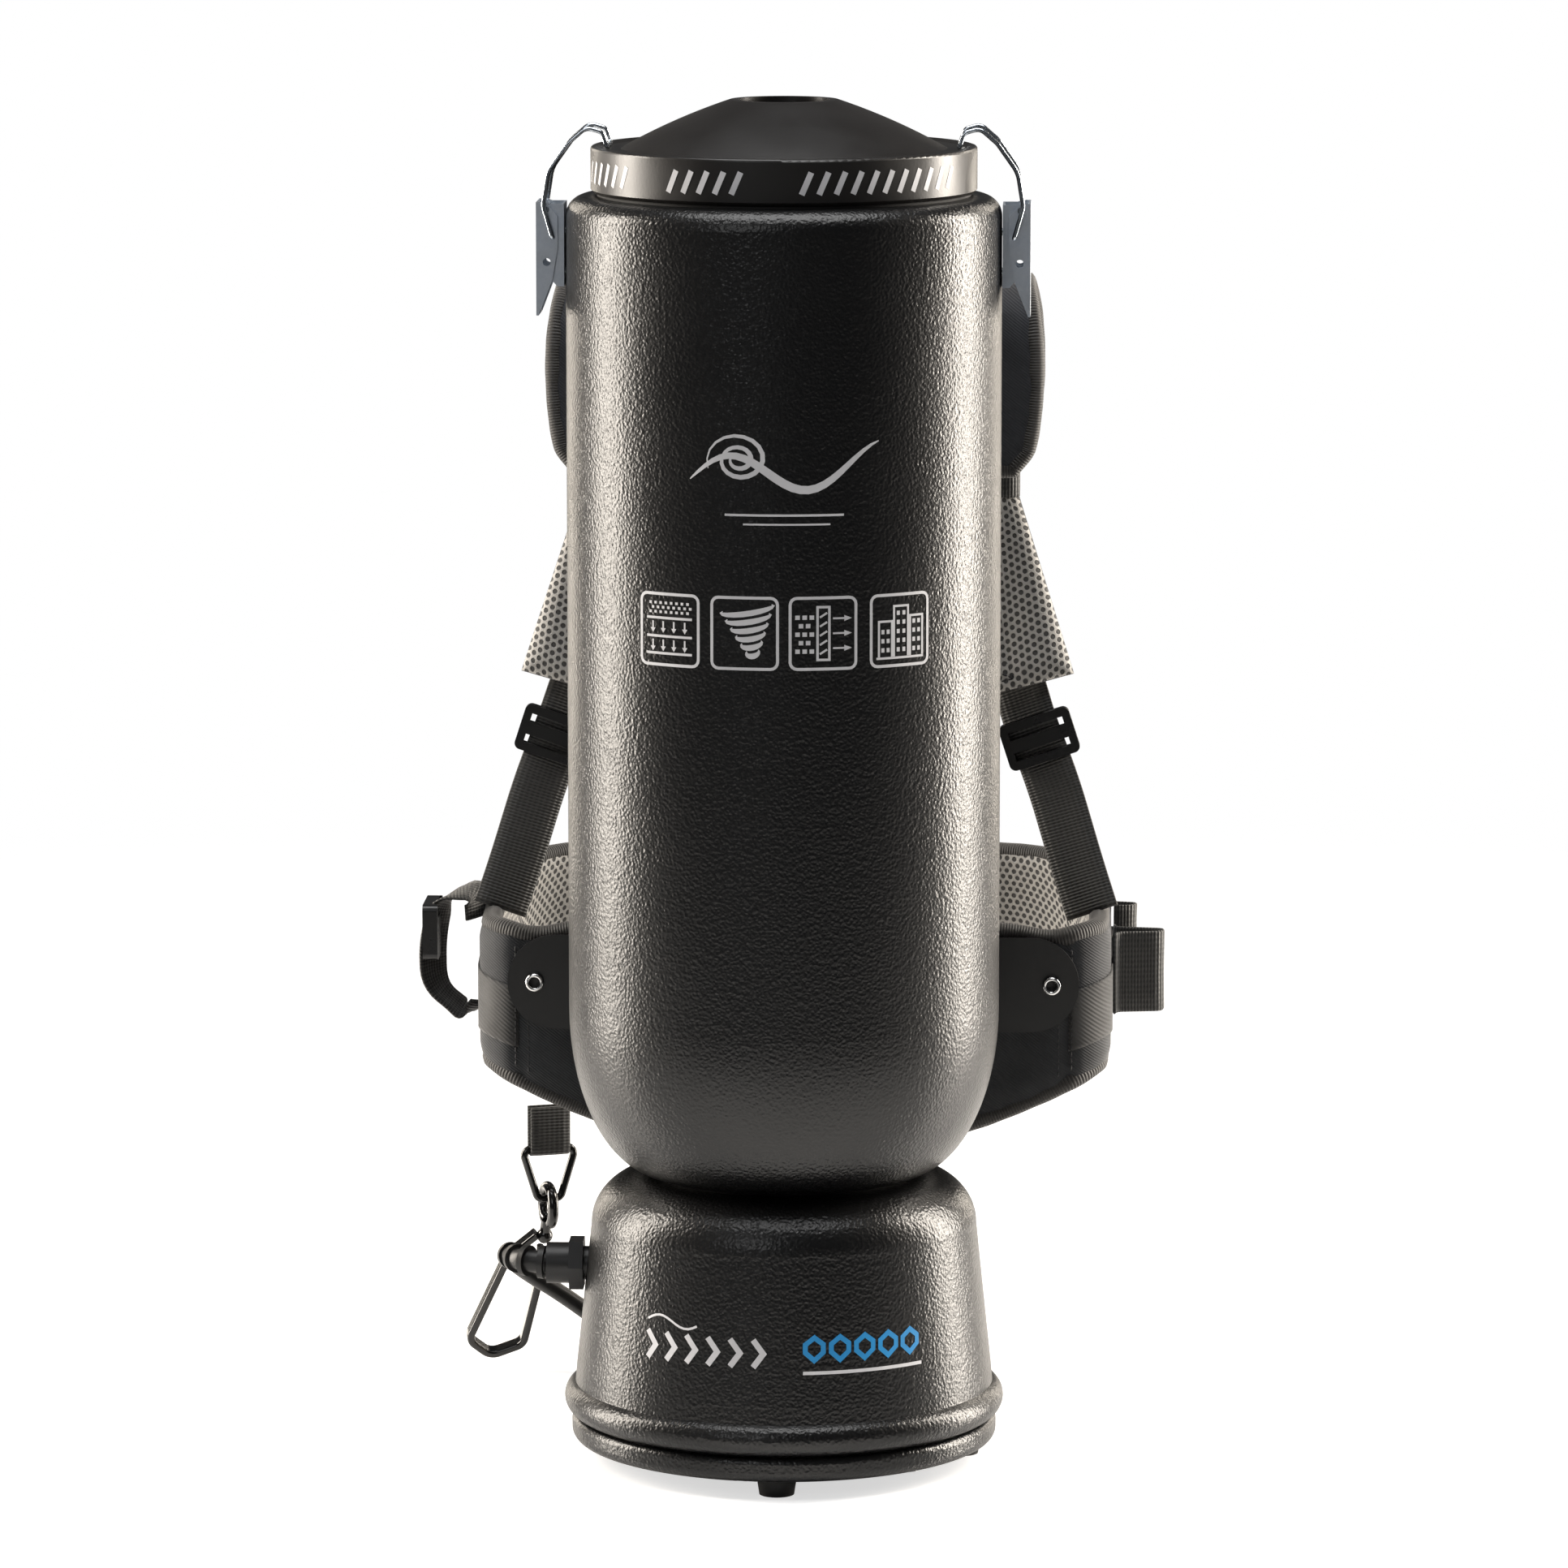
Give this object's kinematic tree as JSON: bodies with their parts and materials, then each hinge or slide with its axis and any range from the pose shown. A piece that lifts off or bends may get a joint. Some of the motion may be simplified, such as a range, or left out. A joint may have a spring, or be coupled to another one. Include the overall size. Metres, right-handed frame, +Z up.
{
  "type": "backpack vacuum cleaner",
  "caption": "Backpack vacuum cleaner: latched canister on a motor base, with padded harness, waist belt, snap hook and short mains pigtail.",
  "frame": {"origin": "on the floor under the middle of the object's outline, without the pigtail; the canister's axis stands 75.55 mm in front of it", "axes": "+Z up along the canister, -Y the printed front, +Y the wearer's side, +X to the right seen from the front"},
  "size_m": [0.3449, 0.3488, 0.61],
  "materials": {
    "canister_plastic": "moulded, leather grain",
    "lid_plastic": "moulded, satin",
    "zinc_steel": "bright zinc plate",
    "black_rubber": "matt",
    "relief_rubber": "satin",
    "cord_jacket": "satin",
    "nickel_brass": "nickel plated",
    "gland_nylon": "moulded",
    "switch_plastic": "moulded",
    "screw_steel": "zinc plate",
    "frame_plastic": "moulded",
    "plate_steel": "satin black powder coat",
    "rivet_chrome": "polished",
    "pad_fabric": "nylon twill",
    "air_mesh": "spacer mesh",
    "webbing": "ribbed nylon webbing",
    "buckle_plastic": "moulded acetal",
    "hook_metal": "moulded acetal",
    "motor_steel": "pressed",
    "fan_alloy": "spun",
    "filter_paper": "filter paper",
    "inner_plastic": "moulded"
  },
  "bodies": {
    "body": {"canister_shell": "canister_plastic", "base_housing": "canister_plastic", "base_cover": "canister_plastic", "latch_bracket_left": "zinc_steel", "latch_bracket_right": "zinc_steel", "latch_pins": "zinc_steel", "latch_rivets": "zinc_steel", "rubber_feet": "black_rubber", "neck_gasket": "black_rubber", "strain_relief": "relief_rubber", "power_cord": "cord_jacket", "plug_body": "cord_jacket", "plug_blades": "nickel_brass", "gland_nut": "gland_nylon", "gland_body": "gland_nylon", "switch_bezel": "switch_plastic", "base_screws": "screw_steel", "frame_bolts": "screw_steel", "back_frame": "frame_plastic", "belt_plate": "plate_steel", "belt_rivets": "rivet_chrome", "back_pad": "pad_fabric", "shoulder_pad_left": "pad_fabric", "shoulder_pad_right": "pad_fabric", "waist_belt": "pad_fabric", "chest_pad_left": "air_mesh", "chest_pad_right": "air_mesh", "strap_webbing_left": "webbing", "strap_webbing_right": "webbing", "tail_strap": "webbing", "webbing_loops": "webbing", "hook_tab": "webbing", "buckle_socket": "buckle_plastic", "buckle_tongue": "buckle_plastic", "ladder_lock_left": "buckle_plastic", "ladder_lock_right": "buckle_plastic", "tail_adjuster": "buckle_plastic", "motor_casing": "motor_steel", "motor_stator": "motor_steel", "motor_bearings": "motor_steel", "fan_cover": "fan_alloy", "exhaust_filter": "filter_paper", "dome_filter": "filter_paper", "filter_bag": "filter_paper", "filter_cage": "inner_plastic", "bag_collar": "inner_plastic"},
    "lid": {"lid_shell": "lid_plastic", "lid_gasket": "black_rubber", "port_seal": "black_rubber"},
    "lever_left": {"latch_lever_left": "zinc_steel"},
    "lever_right": {"latch_lever_right": "zinc_steel"},
    "bail_left": {"latch_bail_left": "zinc_steel"},
    "bail_right": {"latch_bail_right": "zinc_steel"},
    "motor_rotor": {"motor_armature": "motor_steel", "fan_impeller": "fan_alloy"},
    "rocker": {"switch_rocker": "switch_plastic"},
    "ring": {"hook_ring": "hook_metal"},
    "hook": {"snap_hook": "hook_metal"},
    "gate": {"hook_gate": "hook_metal"}
  },
  "joints": [
    {"name": "lid_lift", "type": "slide", "parent": "body", "child": "lid", "axis": [0, 0, 1], "range_m": [0, 0.02]},
    {"name": "lever_right_open", "type": "hinge", "parent": "body", "child": "lever_right", "pos_m": [0.1046, -0.07555, 0.562], "axis": [0, -1, 0], "range_deg": [0, 100]},
    {"name": "bail_right_swing", "type": "hinge", "parent": "lever_right", "child": "bail_right", "pos_m": [0.1016, -0.07555, 0.5499], "axis": [0, 1, 0], "range_deg": [0, 240]},
    {"name": "lever_left_open", "type": "hinge", "parent": "body", "child": "lever_left", "pos_m": [-0.1046, -0.07555, 0.562], "axis": [0, 1, 0], "range_deg": [0, 100]},
    {"name": "bail_left_swing", "type": "hinge", "parent": "lever_left", "child": "bail_left", "pos_m": [-0.1016, -0.07555, 0.5499], "axis": [0, -1, 0], "range_deg": [0, 240]},
    {"name": "motor_spin", "type": "hinge", "parent": "body", "child": "motor_rotor", "pos_m": [0, -0.07555, 0.06], "axis": [0, 0, 1], "continuous": true},
    {"name": "switch_rock", "type": "hinge", "parent": "body", "child": "rocker", "pos_m": [0.05563, -0.00925, 0.07769], "axis": [-0.766, 0.6428, 0], "range_deg": [0, 9]},
    {"name": "ring_swing", "type": "hinge", "parent": "body", "child": "ring", "pos_m": [-0.115, 0.05245, 0.1126], "axis": [0.9439, 0.3304, 0], "range_deg": [-10, 25]},
    {"name": "hook_swing", "type": "hinge", "parent": "ring", "child": "hook", "pos_m": [-0.115, 0.05245, 0.0886], "axis": [0.9439, 0.3304, 0], "range_deg": [-8, 30]},
    {"name": "gate_open", "type": "hinge", "parent": "hook", "child": "gate", "pos_m": [-0.11999, 0.06113, 0.06427], "axis": [-0.1747, 0.9154, 0.3626], "range_deg": [0, 18], "stiffness_Nm_per_rad": 0.02, "springref_deg": -11.46}
  ],
  "couplings": [
    {"joint": "lever_right_open", "follows": "lid_lift", "rad_per_m": 87.266},
    {"joint": "lever_left_open", "follows": "lid_lift", "rad_per_m": 87.266},
    {"joint": "bail_right_swing", "follows": "lid_lift", "rad_per_m": 209.44},
    {"joint": "bail_left_swing", "follows": "lid_lift", "rad_per_m": 209.44}
  ]
}
